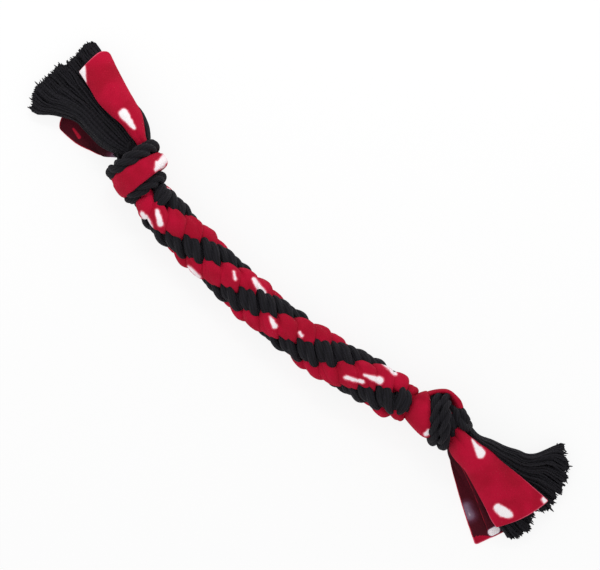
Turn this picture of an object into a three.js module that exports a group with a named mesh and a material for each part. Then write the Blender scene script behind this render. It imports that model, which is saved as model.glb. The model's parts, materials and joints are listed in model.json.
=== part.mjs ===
import * as THREE from 'three';

// A rope dog toy lying on a flat surface, at z = 0. Two red fleece strips and two black three-ply
// ropes make one round braid. The whole bundle is knotted at each end, and past the knots the
// strips hang out as flat tails and the ropes are unlaid into frayed tassels.
// X runs along the toy, from the left end to the right end, and Z is up. All sizes are in mm.

// Driving dimensions
const fleeceWidth = 36;
const fleeceThickness = 2.4;
const ropeDiameter = 9.6;
const pieceGap = 0.4;
const strandGap = 0.8;

const braidDiameter = 28;
const braidBore = 4;
const neckDiameter = 18;
const leftNeckX = -109.7;
const leftNeckY = -4.1;
const rightNeckX = 97.5;
const rightNeckY = -7.9;
const braidBow = 11.7;
const stitchPitch = 9.5;
const stitchDepth = 1.7;
const stitchEdgeDrop = 1.1;
const neckTaper = 8;
const pressDepth = 0.5;

const leftKnotDiameter = 38;
const leftKnotReach = 15.8;
const leftFleeceTurnWidth = 11.4;
const rightKnotDiameter = 37;
const rightKnotReachX = 21.1;
const rightKnotReachY = 6.7;
const rightSmallTurnDiameter = 33;
const rightNoseTurnDiameter = 21;
const rightNoseLead = 2.4;
const rightMouthSide = 6.2;
const rightMouthDiameter = 11.6;
const rightLargeTurnOffset = 1.9;
const rightConeDiameter = 28;
const tightRopeWidth = 7.4;

const leftTasselReach = 70;
const rightTasselReach = 72;
const tasselSpread = 60;
const tasselHeight = 17;
const yarnRaggedness = 2.2;
const tasselTipRound = 2;
const leftNearTipRound = 4;
const leftUpperTailLength = 61;
const leftLowerTailLength = 45;
const rightUpperTailLength = 64;
const rightLowerTailLength = 65;
const leftUpperTailSide = 5;
const rightUpperTailSide = 9;
const rightLowerTailSide = 13.6;

// Headings in the ground plane, and shares of the sizes above
const degree = Math.PI / 180;
const leftKnotHeading = 160 * degree;
const rightKnotHeading = 38.5 * degree;
const leftFanHeading = 170 * degree;
const rightFanHeading = 2 * degree;
const leftUpperTailHeading = 156.9 * degree;
const leftLowerTailHeading = 193.3 * degree;
const rightUpperTailHeading = -13.2 * degree;
const rightLowerTailHeading = -31.7 * degree;
const neckTurnLean = 5 * degree;
const turnStart = 232.5 * degree;
const turnSweep = 330 * degree;
const noseStart = -60 * degree;
const noseSweep = 165 * degree;
const neckRelief = 11.5 * degree;
const braidTurns = 2.09;
const twistCrowdShare = 0.2;
const firstStrandAngle = -78 * degree;
const ropeSector = 86 * degree;
const fleeceSector = 94 * degree;
const neckRiseShare = 0.35;
const stitchSkewShare = 2 / 3;
const ringsPerStitch = 3;
const turnStep = 15 * degree;
const turnSides = 8;
const bodySides = 12;
const tasselLocks = 8;
const tuckedEndShare = 0.7;
const heartNeckShare = 0.97;
const heartMouthShare = 0.95;
const neckTipShare = 1 / 8;
const lowerTailSlantShare = -0.1;
const rightTailSlantShare = 0.1;
const tasselEdgeShare = 0.45;
const tasselLockShare = 0.1;
const tasselUndersideShare = 0.12;

const ropeRadius = ropeDiameter / 2;
const knotPressDepth = ropeDiameter / 10;
const leftKnotZ = leftKnotDiameter / 2 - knotPressDepth;
const rightKnotZ = rightKnotDiameter / 2 - knotPressDepth;
const UP = new THREE.Vector3(0, 0, 1);

const materials = {
  fleece: new THREE.MeshStandardMaterial({ color: 0xb20a2c, roughness: 0.95, metalness: 0 }),
  fleeceBack: new THREE.MeshStandardMaterial({ color: 0x5a0f1e, roughness: 0.95, metalness: 0 }),
  rope: new THREE.MeshStandardMaterial({ color: 0x12141a, roughness: 0.85, metalness: 0 }),
  yarn: new THREE.MeshStandardMaterial({ color: 0x17181c, roughness: 0.95, metalness: 0 }),
};

const toy = new THREE.Group();

function heading(angle) {
  return new THREE.Vector3(Math.cos(angle), Math.sin(angle), 0);
}

function across(direction) {
  return new THREE.Vector3().crossVectors(UP, direction);
}

function mix(from, to, amount) {
  return from + (to - from) * amount;
}

function clamp01(value) {
  return Math.min(1, Math.max(0, value));
}

// Six times the signed volume of a triangle mesh, which is negative if its faces point in
function signedVolume(points, triangles) {
  let sum = 0;
  for (let i = 0; i < triangles.length; i += 3) {
    const [a, b, c] = [points[triangles[i]], points[triangles[i + 1]], points[triangles[i + 2]]];
    sum += a.dot(new THREE.Vector3().crossVectors(b, c));
  }
  return sum;
}

// A closed skin through rings of points. Ring point i lies across from point n - 1 - i, so each
// end closes with a strip of faces between the two halves of its ring. Points below the surface
// that the toy lies on are pressed up to it.
function skin(rings, splitOther = () => false) {
  const count = rings[0].length;
  const points = rings.flat();
  for (const point of points) {
    point.z = Math.max(0, point.z);
  }
  const triangles = [];
  for (let k = 0; k + 1 < rings.length; k += 1) {
    for (let i = 0; i < count; i += 1) {
      const next = (i + 1) % count;
      const a = k * count + i;
      const b = k * count + next;
      const c = (k + 1) * count + next;
      const d = (k + 1) * count + i;
      if (splitOther(i)) {
        triangles.push(a, b, d, b, c, d);
      } else {
        triangles.push(a, b, c, a, c, d);
      }
    }
  }
  const last = (rings.length - 1) * count;
  for (let i = 0; i < count / 2 - 1; i += 1) {
    const mirror = count - 1 - i;
    triangles.push(i, mirror, mirror - 1, i, mirror - 1, i + 1);
    triangles.push(last + i, last + mirror - 1, last + mirror, last + i, last + i + 1, last + mirror - 1);
  }
  if (signedVolume(points, triangles) < 0) {
    triangles.reverse();
  }
  const geometry = new THREE.BufferGeometry();
  geometry.setAttribute('position', new THREE.Float32BufferAttribute(points.flatMap((p) => p.toArray()), 3));
  geometry.setIndex(triangles);
  geometry.computeVertexNormals();
  return geometry;
}

function addPiece(name, rings, material, splitOther) {
  const mesh = new THREE.Mesh(skin(rings, splitOther), material);
  mesh.name = name;
  toy.add(mesh);
}

// The middle line of the braid: bowed sideways, resting on the surface at mid-length, and rising
// at both ends to the middle of the larger knots
class BraidLine extends THREE.Curve {
  getPoint(v, target = new THREE.Vector3()) {
    const rest = braidDiameter / 2 - pressDepth;
    const leftRise = Math.max(0, 1 - v / neckRiseShare);
    const rightRise = Math.max(0, 1 - (1 - v) / neckRiseShare);
    const x = mix(leftNeckX, rightNeckX, v);
    const y = mix(leftNeckY, rightNeckY, v) - braidBow * 4 * v * (1 - v);
    const z = rest + (leftKnotZ - rest) * leftRise ** 2 + (rightKnotZ - rest) * rightRise ** 2;
    return target.set(x, y, z);
  }
}

const braidLine = new BraidLine();
const braidLength = braidLine.getLength();
const stitchCount = Math.round(braidLength / stitchPitch);

// A point of the braid at a length share, an angle from the +Y side towards the top, and a radius
function braidPoint(lengthShare, angle, radius) {
  const along = braidLine.getTangentAt(lengthShare);
  const side = across(along).normalize();
  const up = new THREE.Vector3().crossVectors(along, side);
  return braidLine.getPointAt(lengthShare)
    .addScaledVector(side, radius * Math.cos(angle))
    .addScaledVector(up, radius * Math.sin(angle));
}

function strandAngle(index, lengthShare) {
  const wound = lengthShare + twistCrowdShare * lengthShare * (1 - lengthShare);
  return firstStrandAngle + (index * Math.PI) / 2 - 2 * Math.PI * braidTurns * wound;
}

// The braid narrows to its neck over the last stretch at each end
function neckScale(lengthShare) {
  const fromEnd = Math.min(lengthShare, 1 - lengthShare) * braidLength;
  const shoulder = clamp01(fromEnd / neckTaper);
  const full = Math.sqrt(1 - (1 - shoulder) ** 2);
  return mix(neckDiameter / braidDiameter, 1, full);
}

// One strand's run in the braid: a quarter of the round section that winds round the middle line.
// Each ring follows the slant of the stitches, and each stitch swells between two grooves.
function braidStrandRings(index, sector) {
  const half = sector / 2;
  const radius = braidDiameter / 2;
  const columns = [1, 0.5, 0, -0.5, -1];
  const rings = [];
  for (let k = 0; k <= stitchCount * ringsPerStitch; k += 1) {
    const stitch = k / ringsPerStitch;
    const fade = Math.min(1, stitch / 2, (stitchCount - stitch) / 2);
    const swell = k % ringsPerStitch === 0 ? 0 : 1;
    const at = (column, r) => {
      const place = clamp01((stitch - stitchSkewShare * column * fade) / stitchCount);
      const relief = (r * neckScale(place) * Math.tan(neckRelief) + pieceGap / 2) / braidLength;
      const share = Math.min(1 - relief, Math.max(relief, place));
      const scaled = r * neckScale(share);
      const clearance = r === braidBore / 2 ? 0 : strandGap / 2 / scaled;
      return braidPoint(share, strandAngle(index, share) - column * (half - clearance), scaled);
    };
    const outer = columns.map((column) => {
      const drop = stitchDepth * (1 - swell) + stitchEdgeDrop * column ** 2;
      return at(column, radius - drop);
    });
    rings.push([...outer, at(-1, radius / 2), at(0, braidBore / 2), at(1, radius / 2)]);
  }
  return rings;
}

function braidStrand(name, index, sector, material) {
  addPiece(name, braidStrandRings(index, sector), material, (i) => i >= 6);
}

// A frame on a knot's axis: a centre, the axis, its level side direction and the vertical
function knotFrame(centre, angle) {
  const axis = heading(angle);
  return { centre, axis, side: across(axis) };
}

function knotPoint(frame, offset, angle, radius) {
  return frame.centre.clone()
    .addScaledVector(frame.axis, offset)
    .addScaledVector(frame.side, radius * Math.cos(angle))
    .addScaledVector(UP, radius * Math.sin(angle));
}

// An open turn round a knot's axis, with an oval section. It starts and ends low on one side,
// where its ends are tucked against the rest of the bundle. A turn leans with all of its section,
// and a wedge only with the side that faces back along the axis, so it widens to one side.
function knotTurnRings(frame, turn) {
  const steps = Math.round(turn.sweep / turnStep);
  const middle = turn.outerRadius - ropeRadius;
  const rings = [];
  for (let k = 0; k <= steps; k += 1) {
    const angle = turn.start + k * turnStep;
    const tuckShare = k === 0 || k === steps ? tuckedEndShare : 1;
    const ring = [];
    for (let i = 0; i < turnSides; i += 1) {
      const around = ((i + 0.5) * 2 * Math.PI) / turnSides;
      const radius = middle + tuckShare * ropeRadius * Math.cos(around);
      const leaning = turn.wedge ? (1 - Math.sin(around)) / 2 : 1;
      const lean = leaning * Math.tan(turn.lean) * radius * Math.cos(angle);
      const offset = turn.offset - lean + (tuckShare * turn.width * Math.sin(around)) / 2;
      ring.push(knotPoint(frame, offset, angle, radius));
    }
    rings.push(ring);
  }
  return rings;
}

// The bundle where it passes through a knot, as a round body on the knot's axis. Each profile
// point is an offset along the axis, a radius and how far the body leaves the axis sideways.
function roundBodyRings(frame, profile) {
  return profile.map(([offset, radius, aside = 0]) => {
    const ring = [];
    for (let i = 0; i < bodySides; i += 1) {
      const point = knotPoint(frame, offset, ((i + 0.5) * 2 * Math.PI) / bodySides, radius);
      ring.push(point.addScaledVector(frame.side, aside));
    }
    return ring;
  });
}

// A place on a knot's axis, moved sideways from it
function besideAxis(frame, offset, aside) {
  return knotPoint(frame, offset, 0, aside);
}

// A free end's first ring lies against the knot's face, which its heading may not be square to
function rootSlant(knotHeading, ownHeading) {
  return -Math.tan(knotHeading - ownHeading);
}

// Left knot
const leftNeck = braidLine.getPointAt(0);
const leftAxis = heading(leftKnotHeading);
const leftCentre = leftNeck.clone().addScaledVector(leftAxis, leftKnotReach);
const leftKnot = knotFrame(leftCentre, leftKnotHeading);
const leftMouthOffset = leftFleeceTurnWidth / 2 + tightRopeWidth + 2 * pieceGap;

function leftKnotTurn(offset, width, lean, wedge) {
  const outerRadius = leftKnotDiameter / 2;
  return { offset, width, lean, wedge, outerRadius, start: turnStart, sweep: turnSweep };
}

function makeLeftKnot() {
  const ropeOffset = leftFleeceTurnWidth / 2 + pieceGap + tightRopeWidth / 2;
  const heartRadius = leftKnotDiameter / 2 - ropeDiameter - pieceGap;
  const neckEnd = pieceGap - leftKnotReach;
  const tipRadius = heartRadius * neckTipShare;
  const fleeceTurn = leftKnotTurn(0, leftFleeceTurnWidth, neckTurnLean, true);
  const neckTurn = leftKnotTurn(-ropeOffset, tightRopeWidth, neckTurnLean, false);
  const mouthTurn = leftKnotTurn(ropeOffset, tightRopeWidth, 0, false);
  addPiece('left_knot_neck_rope_turn', knotTurnRings(leftKnot, neckTurn), materials.rope);
  addPiece('left_knot_fleece_turn', knotTurnRings(leftKnot, fleeceTurn), materials.fleece);
  addPiece('left_knot_mouth_rope_turn', knotTurnRings(leftKnot, mouthTurn), materials.rope);
  addPiece('left_knot_heart', roundBodyRings(leftKnot, [
    [neckEnd + tipRadius * Math.tan(neckRelief), tipRadius],
    [neckEnd + heartRadius * Math.tan(neckRelief), heartRadius * heartNeckShare],
    [0, heartRadius],
    [leftMouthOffset, heartRadius * heartMouthShare],
  ]), materials.rope);
}

// Right knot. Its turns lie aslant, so its axis is not in line with the braid.
const rightNeck = braidLine.getPointAt(1);
const rightReach = new THREE.Vector3(rightKnotReachX, rightKnotReachY, 0);
const rightCentre = rightNeck.clone().add(rightReach);
const rightKnot = knotFrame(rightCentre, rightKnotHeading);
const rightSmallTurnOffset = rightLargeTurnOffset - tightRopeWidth - pieceGap;
const rightFaceOffset = rightLargeTurnOffset + tightRopeWidth / 2 + pieceGap;
const rightNoseOffset = rightFaceOffset + rightNoseLead + tightRopeWidth / 2;
const rightMouthOffset = rightNoseOffset + tightRopeWidth / 2;

function rightKnotTurn(offset, diameter, start, sweep) {
  return { offset, width: tightRopeWidth, lean: 0, wedge: false, outerRadius: diameter / 2, start, sweep };
}

// The wide fleece turn next to the braid: a cone from the neck to the first rope turn. Each
// station is the share of the way there and the share of the widening.
function rightConeRings() {
  const baseOffset = rightSmallTurnOffset - tightRopeWidth / 2 - pieceGap;
  const base = knotPoint(rightKnot, baseOffset, 0, 0);
  const reachHeading = Math.atan2(rightKnotReachY, rightKnotReachX);
  const neckRadius = neckDiameter / 2;
  const tipRadius = neckRadius * neckTipShare;
  const neckEnd = (radius) => pieceGap + radius * Math.tan(neckRelief);
  const tip = rightNeck.clone().addScaledVector(heading(reachHeading), neckEnd(tipRadius));
  const rim = rightNeck.clone().addScaledVector(heading(reachHeading), neckEnd(neckRadius));
  const stationShares = [[0, 0], [0.5, 0.7], [0.8, 0.95], [1, 1]];
  const rings = [coneRing(tip, reachHeading, tipRadius)];
  for (const [station, widening] of stationShares) {
    const turned = mix(reachHeading, rightKnotHeading, station);
    const radius = mix(neckRadius, rightConeDiameter / 2, widening);
    rings.push(coneRing(rim.clone().lerp(base, station), turned, radius));
  }
  return rings;
}

function coneRing(middle, angle, radius) {
  const frame = knotFrame(middle, angle);
  return roundBodyRings(frame, [[0, radius]])[0];
}

function makeRightKnot() {
  const smallTurn = rightKnotTurn(rightSmallTurnOffset, rightSmallTurnDiameter, turnStart, turnSweep);
  const largeTurn = rightKnotTurn(rightLargeTurnOffset, rightKnotDiameter, turnStart, turnSweep);
  const noseTurn = rightKnotTurn(rightNoseOffset, rightNoseTurnDiameter, noseStart, noseSweep);
  const heartRadius = rightSmallTurnDiameter / 2 - ropeDiameter - pieceGap;
  const mouthRadius = rightMouthDiameter / 2;
  addPiece('right_knot_fleece_turn', rightConeRings(), materials.fleece);
  addPiece('right_knot_small_rope_turn', knotTurnRings(rightKnot, smallTurn), materials.rope);
  addPiece('right_knot_large_rope_turn', knotTurnRings(rightKnot, largeTurn), materials.rope);
  addPiece('right_knot_nose_rope_turn', knotTurnRings(rightKnot, noseTurn), materials.rope);
  addPiece('right_knot_heart', roundBodyRings(rightKnot, [
    [rightSmallTurnOffset - tightRopeWidth / 2, heartRadius, 0],
    [rightFaceOffset - pieceGap, heartRadius, 0],
    [rightFaceOffset + rightNoseLead - pieceGap, mouthRadius, -rightMouthSide],
    [rightMouthOffset, mouthRadius, -rightMouthSide],
  ]), materials.rope);
}

// A fleece tail: a strip that leaves the knot gathered and opens out. Each row of its table is the
// share of its length, its two edges as shares of the strip's width, then the height of its top,
// its crown and how far its far edge curls down, as shares of the knot's height.
function tailRings(tail) {
  const along = heading(tail.heading);
  const side = across(along);
  const columns = [-1, -0.6, -0.2, 0.2, 0.6, 1];
  return tail.shares.map(([reach, low, high, top, crown, curl], row) => {
    const upper = columns.map((column) => {
      const spread = mix(low, high, (column + 1) / 2) * fleeceWidth;
      const curled = curl * Math.max(0, -column) ** 3;
      const height = (top - crown * column ** 2 - curled) * tail.knotHeight;
      const last = row === tail.shares.length - 1;
      const endSlant = last ? tail.slantShare * column * fleeceWidth : 0;
      const slant = row === 0 ? tail.rootSlant * spread : endSlant;
      return tail.root.clone()
        .addScaledVector(along, reach * tail.length + slant)
        .addScaledVector(side, spread)
        .setZ(Math.max(fleeceThickness, height));
    });
    const lower = upper.map((point) => point.clone().setZ(point.z - fleeceThickness));
    return [...upper, ...lower.reverse()];
  });
}

function makeTails() {
  const leftUpperShares = [
    [0, -0.12, 0.12, 0.74, 0.04, 0],
    [0.12, -0.22, 0.10, 0.77, 0.05, 0],
    [0.25, -0.27, 0.10, 0.76, 0.05, 0],
    [0.45, -0.29, 0.18, 0.70, 0.04, 0.03],
    [0.65, -0.30, 0.25, 0.60, 0.03, 0.06],
    [0.85, -0.31, 0.30, 0.50, 0.02, 0.10],
    [1, -0.315, 0.32, 0.45, 0.02, 0.14],
  ];
  const leftLowerShares = [
    [0, -0.12, 0.10, 0.24, 0, 0],
    [0.2, -0.18, 0.17, 0.12, 0, 0],
    [0.45, -0.30, 0.18, 0.065, 0, 0],
    [0.7, -0.36, 0.18, 0.065, 0, 0],
    [1, -0.38, 0.12, 0.065, 0, 0],
  ];
  const rightUpperShares = [
    [0, -0.10, 0.14, 0.77, 0.04, 0],
    [0.16, -0.20, 0.18, 0.78, 0.05, 0],
    [0.38, -0.24, 0.27, 0.72, 0.05, 0.02],
    [0.62, -0.32, 0.38, 0.61, 0.03, 0.06],
    [0.81, -0.37, 0.48, 0.50, 0.02, 0.06],
    [1, -0.43, 0.52, 0.42, 0.01, 0.06],
  ];
  const rightLowerShares = [
    [0.01, -0.11, 0.02, 0.115, 0, 0],
    [0.15, -0.14, 0.06, 0.09, 0, 0],
    [0.35, -0.18, 0.12, 0.067, 0, 0],
    [0.65, -0.20, 0.26, 0.067, 0, 0],
    [1, -0.23, 0.34, 0.067, 0, 0],
  ];
  const tails = [
    {
      name: 'left_upper_fleece_tail',
      material: materials.fleece,
      heading: leftUpperTailHeading,
      root: besideAxis(leftKnot, leftMouthOffset + pieceGap, -leftUpperTailSide),
      rootSlant: rootSlant(leftKnotHeading, leftUpperTailHeading),
      length: leftUpperTailLength,
      knotHeight: leftKnotDiameter,
      shares: leftUpperShares,
      slantShare: 0,
    },
    {
      name: 'left_lower_fleece_tail',
      material: materials.fleeceBack,
      heading: leftLowerTailHeading,
      root: besideAxis(leftKnot, leftMouthOffset + pieceGap, 0),
      rootSlant: rootSlant(leftKnotHeading, leftLowerTailHeading),
      length: leftLowerTailLength,
      knotHeight: leftKnotDiameter,
      shares: leftLowerShares,
      slantShare: lowerTailSlantShare,
    },
    {
      name: 'right_upper_fleece_tail',
      material: materials.fleece,
      heading: rightUpperTailHeading,
      root: besideAxis(rightKnot, rightFaceOffset + pieceGap, -rightUpperTailSide),
      rootSlant: rootSlant(rightKnotHeading, rightUpperTailHeading),
      length: rightUpperTailLength,
      knotHeight: rightKnotDiameter,
      shares: rightUpperShares,
      slantShare: rightTailSlantShare,
    },
    {
      name: 'right_lower_fleece_tail',
      material: materials.fleeceBack,
      heading: rightLowerTailHeading,
      root: besideAxis(rightKnot, rightFaceOffset, -rightLowerTailSide),
      rootSlant: 0,
      length: rightLowerTailLength,
      knotHeight: rightKnotDiameter,
      shares: rightLowerShares,
      slantShare: rightTailSlantShare,
    },
  ];
  for (const tail of tails) {
    addPiece(tail.name, tailRings(tail), tail.material);
  }
}

// A tassel: the yarns of one unlaid rope, as a fan that flattens and spreads. Each row of its
// table is the share of the reach, its two edges as shares of the spread, then its underside and
// top as shares of the tassel's height. The last row ends in ragged locks.
function tasselRings(tassel) {
  const along = heading(tassel.heading);
  const side = across(along);
  return tassel.shares.map(([reach, low, high, bottom, top], row) => {
    const last = row === tassel.shares.length - 1;
    const edge = (isTop) => Array.from({ length: tasselLocks }, (_, i) => {
      const column = (2 * i) / (tasselLocks - 1) - 1;
      const lock = i % 2 === 0 ? 1 : 0;
      const ragged = last ? yarnRaggedness * (2 * lock - 1) - tassel.tipRound * column ** 2 : 0;
      const lockDrop = (tasselLockShare * lock * row) / tassel.shares.length;
      const round = 1 - tasselEdgeShare * column ** 4 - lockDrop;
      const height = mix(bottom, top, isTop ? round : tasselUndersideShare * column ** 4);
      const spread = mix(low, high, (column + 1) / 2) * tasselSpread;
      const slant = row === 0 ? tassel.rootSlant * spread : 0;
      return tassel.root.clone()
        .addScaledVector(along, reach * tassel.reach + ragged + slant)
        .addScaledVector(side, spread)
        .setZ(height * tasselHeight);
    });
    return [...edge(true), ...edge(false).reverse()];
  });
}

function makeTassels() {
  const leftNearShares = [
    [0, -0.02, 0.13, 0.75, 1.4],
    [0.15, -0.02, 0.14, 0.5, 1.45],
    [0.3, -0.03, 0.16, 0.24, 1.35],
    [0.5, -0.03, 0.23, 0.22, 1.12],
    [0.7, -0.04, 0.34, 0.21, 0.86],
    [0.87, -0.05, 0.42, 0.12, 0.62],
    [0.98, -0.05, 0.44, 0.06, 0.44],
  ];
  const leftFarShares = [
    [0, -0.17, -0.03, 0.7, 1.4],
    [0.15, -0.32, -0.03, 0.42, 1.45],
    [0.3, -0.39, -0.04, 0.1, 1.35],
    [0.5, -0.43, -0.04, 0.02, 1.12],
    [0.7, -0.46, -0.05, 0, 0.86],
    [0.87, -0.48, -0.06, 0, 0.62],
    [0.97, -0.5, -0.06, 0, 0.44],
  ];
  const rightNearShares = [
    [0, -0.1, -0.01, 0.75, 1.3],
    [0.14, -0.15, -0.05, 0.5, 1.35],
    [0.27, -0.19, -0.06, 0.26, 1.3],
    [0.42, -0.29, -0.07, 0.24, 1.15],
    [0.58, -0.45, -0.09, 0.23, 0.98],
    [0.75, -0.63, -0.11, 0.2, 0.74],
    [0.88, -0.67, -0.12, 0.06, 0.44],
  ];
  const rightFarShares = [
    [0, 0, 0.09, 0.75, 1.3],
    [0.14, -0.03, 0.07, 0.4, 1.35],
    [0.27, -0.045, 0.08, 0.1, 1.3],
    [0.45, -0.055, 0.13, 0.02, 1.1],
    [0.6, -0.07, 0.21, 0, 0.95],
    [0.7, -0.09, 0.38, 0, 0.8],
    [0.82, -0.1, 0.45, 0, 0.62],
    [0.93, -0.11, 0.4, 0, 0.44],
  ];
  const leftEnd = {
    heading: leftFanHeading,
    root: besideAxis(leftKnot, leftMouthOffset + pieceGap, 0),
    rootSlant: rootSlant(leftKnotHeading, leftFanHeading),
    reach: leftTasselReach,
  };
  const rightEnd = {
    heading: rightFanHeading,
    root: besideAxis(rightKnot, rightMouthOffset + pieceGap, -rightMouthSide),
    rootSlant: rootSlant(rightKnotHeading, rightFanHeading),
    reach: rightTasselReach,
  };
  const tassels = [
    { name: 'left_near_tassel', ...leftEnd, shares: leftNearShares, tipRound: leftNearTipRound },
    { name: 'left_far_tassel', ...leftEnd, shares: leftFarShares, tipRound: tasselTipRound },
    { name: 'right_near_tassel', ...rightEnd, shares: rightNearShares, tipRound: tasselTipRound },
    { name: 'right_far_tassel', ...rightEnd, shares: rightFarShares, tipRound: tasselTipRound },
  ];
  for (const tassel of tassels) {
    addPiece(tassel.name, tasselRings(tassel), materials.yarn);
  }
}

braidStrand('braid_rope_strand_1', 0, ropeSector, materials.rope);
braidStrand('braid_fleece_strand_1', 1, fleeceSector, materials.fleece);
braidStrand('braid_rope_strand_2', 2, ropeSector, materials.rope);
braidStrand('braid_fleece_strand_2', 3, fleeceSector, materials.fleece);
makeLeftKnot();
makeRightKnot();
makeTails();
makeTassels();

// The origin is under the middle of the toy, on the surface that it lies on
const bounds = new THREE.Box3().setFromObject(toy);
const middle = bounds.getCenter(new THREE.Vector3());
toy.position.set(-middle.x, -middle.y, -bounds.min.z);
toy.updateMatrixWorld(true);

export default toy;
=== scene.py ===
import json
import math

import bpy
import numpy as np
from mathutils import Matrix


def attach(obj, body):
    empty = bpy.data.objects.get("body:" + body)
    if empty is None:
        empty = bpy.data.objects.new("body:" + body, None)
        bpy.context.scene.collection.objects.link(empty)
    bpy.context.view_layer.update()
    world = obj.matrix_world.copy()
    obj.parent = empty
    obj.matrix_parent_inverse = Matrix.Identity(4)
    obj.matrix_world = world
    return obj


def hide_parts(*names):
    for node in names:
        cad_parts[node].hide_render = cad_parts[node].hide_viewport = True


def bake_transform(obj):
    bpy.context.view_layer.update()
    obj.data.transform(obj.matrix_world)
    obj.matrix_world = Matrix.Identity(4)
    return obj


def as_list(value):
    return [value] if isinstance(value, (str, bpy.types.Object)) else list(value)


# A rope dog toy: two printed fleece strips and two black three-ply ropes in one round braid,
# knotted at both ends. Everything is in the row frame, X along the toy and Z up, in metres.

MM = 0.001
SEED = 11

# The braid: its middle line, its thickness and how its strands wind round it. A sway or swell is
# its place and width, as shares of the braid's length, and how much it adds there.
BRAID_RADIUS = 14.4 * MM
BRAID_REST = 14 * MM
BRAID_BOW = 11.7 * MM
BRAID_SWAYS = ((0.07, 0.12, -2.0 * MM), (0.85, 0.09, 1.6 * MM))
BRAID_SWELLS = ((0.08, 0.04, 0.07), (0.8, 0.13, 0.09))
NECK_SHARE = 9 / 14
LEFT_NECK_TAPER = 4 * MM
RIGHT_NECK_TAPER = 14 * MM
NECK_RISE_SHARE = 0.35
BRAID_TURNS = 2.09
TWIST_CROWD = 0.2
FIRST_STRAND_ANGLE = math.radians(-78)
LEFT_UNWINDING = math.radians(52)
UNWINDING_LENGTH = 13 * MM
INNER_REACH = 5.4 * MM
INNER_STRAND = 4.6 * MM

# Where the knots lie from the necks, and which way they and the fans of yarn point
LEFT_KNOT_REACH = 15.8 * MM
RIGHT_KNOT_REACH = (21.1 * MM, 6.7 * MM)
LEFT_KNOT_HEADING = math.radians(160)
RIGHT_KNOT_HEADING = math.radians(38.5)
LEFT_FAN_HEADING = math.radians(170)
RIGHT_FAN_HEADING = math.radians(2)

# Stitches: a share of 1 is one pitch from the middle, a size is half the width and half the
# height, and a leaf is how full and how pointed it is.
STITCHES = 22
STITCH_STEPS = 37
STITCH_PHASE = 0.5
STITCH_SKEW = 0.75
STITCH_TURN = math.pi / 4
STITCH_CREST = 0.1
STITCH_DIVE = 3.4 * MM
STITCH_TILT = math.radians(18)
ROPE_STITCH = (5.5 * MM, 4.7 * MM)
FLEECE_STITCH = (7.1 * MM, 4.6 * MM)
ROPE_OVERRUN = 1.55
FLEECE_OVERRUN = 1.5
ROPE_LEAF = (2.3, 0.6)
FLEECE_LEAF = (1.5, 1.0)
LEAF_REACH = 1.01
LEAF_TIP = 0.04
LEAF_HEIGHT_POWER = 0.6
LEAF_BLUNTNESS = 1.6
TIP_SECTION = 0.86
# Each fleece leaf's pale fold rim, partly painted highlight: its angle round the ring and its width
LEAF_RIM = math.radians(160)
LEAF_RIM_WIDTH = 0.16

# The first stitches and the last fleece ones are shorter, and the last bend back from the neck
END_STITCH = 0.88
END_SKEW = -0.4
END_STITCH_BEND = 1.8 * MM
END_STITCH_SIZE = 0.9

# Rope and fleece. A rope's lead is the length in which its plies wind round it once.
ROPE_LEAD = 24 * MM
BRAID_LEAD = 64 * MM
PLY_FULLNESS = 1.12
FLEECE_WIDTH = 36 * MM
FLEECE_THICKNESS = 2.2 * MM
GROUND_GAP = 0.1 * MM
RING_POINTS = 40
RING = np.arange(RING_POINTS) * math.tau / RING_POINTS

# The photograph's frame, and how it looks down on the toy
PHOTO_WIDTH = 600
PHOTO_HEIGHT = 570
PHOTO_SCALE = 0.62 * MM
PHOTO_CENTRE = (1.0 * MM, 8.2 * MM)
PHOTO_TURN = math.radians(38.45)
CAMERA_HEIGHT = 1.5
SENSOR_WIDTH = 36
VIEW_LIMIT = 10

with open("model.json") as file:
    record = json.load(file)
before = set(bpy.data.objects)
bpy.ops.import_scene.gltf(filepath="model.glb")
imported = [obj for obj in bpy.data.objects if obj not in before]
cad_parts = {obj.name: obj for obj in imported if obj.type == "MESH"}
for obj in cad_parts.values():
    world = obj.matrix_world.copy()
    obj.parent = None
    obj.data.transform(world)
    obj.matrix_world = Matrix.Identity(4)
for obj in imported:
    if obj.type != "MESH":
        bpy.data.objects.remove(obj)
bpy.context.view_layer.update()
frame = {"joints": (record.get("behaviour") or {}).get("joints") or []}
rng = np.random.default_rng(SEED)
UP = np.array((0.0, 0.0, 1.0))


def joint_place(name):
    joint = next(j for j in frame["joints"] if j["name"] == name)
    return np.array(joint["pos_m"], float)


LEFT_NECK = joint_place("left_neck_bend")
RIGHT_NECK = joint_place("right_neck_bend")


def unit(vectors):
    return vectors / np.linalg.norm(vectors, axis=-1, keepdims=True)


def heading(angle):
    return np.array((math.cos(angle), math.sin(angle), 0.0))


def mix(start, end, amount):
    return start + (end - start) * amount


def smooth_table(x, rows):
    """The columns of a table whose first column is x, read along smooth curves."""
    table = np.array(rows, float)
    xs, ys = table[:, 0], table[:, 1:]
    slopes = np.gradient(ys, xs, axis=0)
    x = np.clip(x, xs[0], xs[-1])
    i = np.clip(np.searchsorted(xs, x, side="right") - 1, 0, len(xs) - 2)
    span = (xs[i + 1] - xs[i])[..., None]
    t = ((x - xs[i])[..., None]) / span
    start, end = ys[i], ys[i + 1]
    a, b = slopes[i] * span, slopes[i + 1] * span
    value = (2 * t**3 - 3 * t**2 + 1) * start + (t**3 - 2 * t**2 + t) * a
    value += (3 * t**2 - 2 * t**3) * end + (t**3 - t**2) * b
    return np.moveaxis(value, -1, 0)


def ripple(points, size, seed, waves=6):
    """A smooth wave of about one unit, with features of a given size."""
    source = np.random.default_rng(seed)
    total = np.zeros(points.shape[:-1])
    for _ in range(waves):
        direction = unit(source.normal(size=3)) * source.uniform(0.6, 1.4) * math.tau / size
        total += np.sin(points @ direction + source.uniform(0, math.tau))
    return total * 2 / waves


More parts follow.
